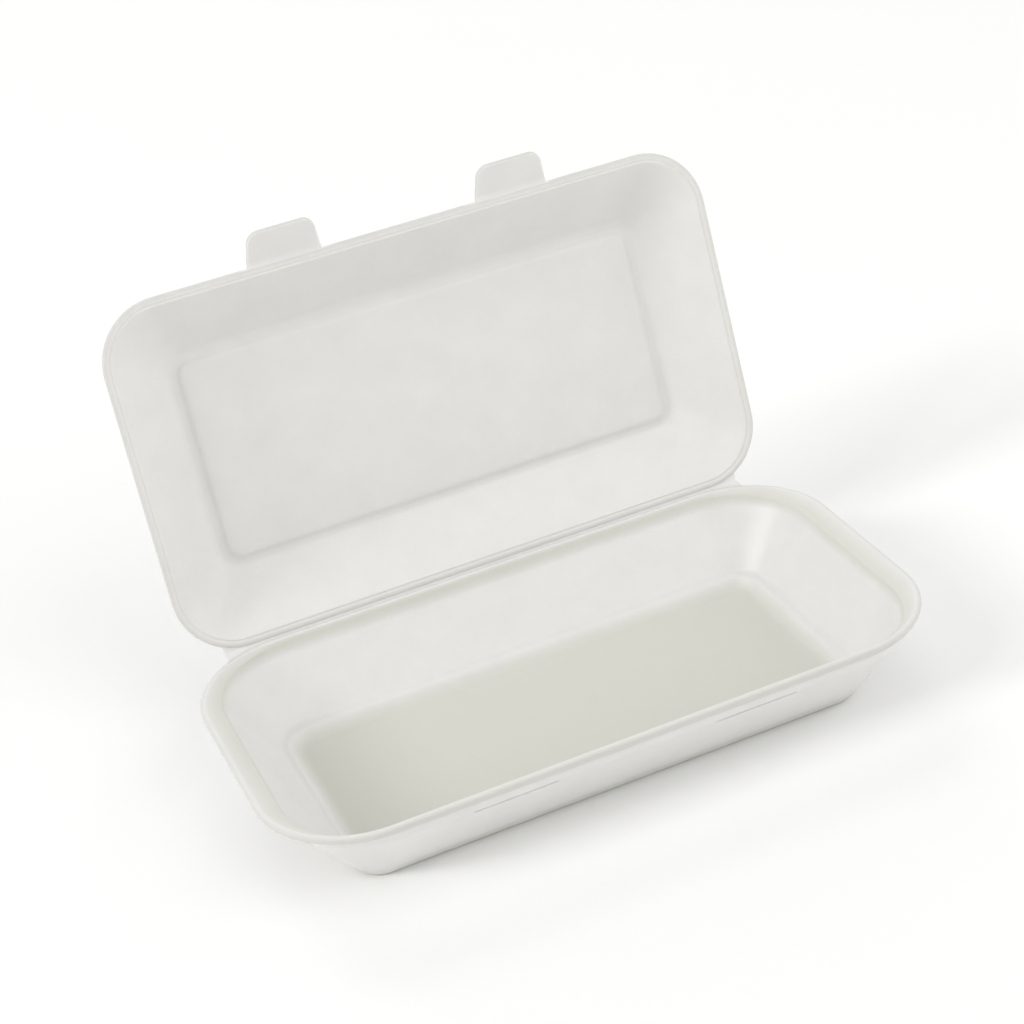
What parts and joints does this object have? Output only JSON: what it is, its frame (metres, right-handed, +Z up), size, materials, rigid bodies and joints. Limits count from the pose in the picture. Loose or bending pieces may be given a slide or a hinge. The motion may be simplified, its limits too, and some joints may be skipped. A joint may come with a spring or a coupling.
{
  "type": "foam clamshell container",
  "caption": "Long white foam clamshell food box, shown open: a tray with flared walls and a stepped foot, hinged to a shallow lid with bent closing tabs on its front edge.",
  "frame": {"origin": "centre of the flat underside of the base, where it rests on a table", "axes": "+X along the hinge, +Y from the front edge towards the hinge, +Z up"},
  "size_m": [0.24, 0.175, 0.1699],
  "materials": {
    "foam": "white expanded polystyrene sheet with a smooth satin skin"
  },
  "bodies": {
    "base": {"base_tray": "foam"},
    "lid": {"lid": "foam"}
  },
  "joints": [
    {"name": "lid_hinge", "type": "hinge", "parent": "base", "child": "lid", "pos_m": [0, 0.0635, 0.034], "axis": [1, 0, 0], "range_deg": [-73.8, 106.2]}
  ]
}
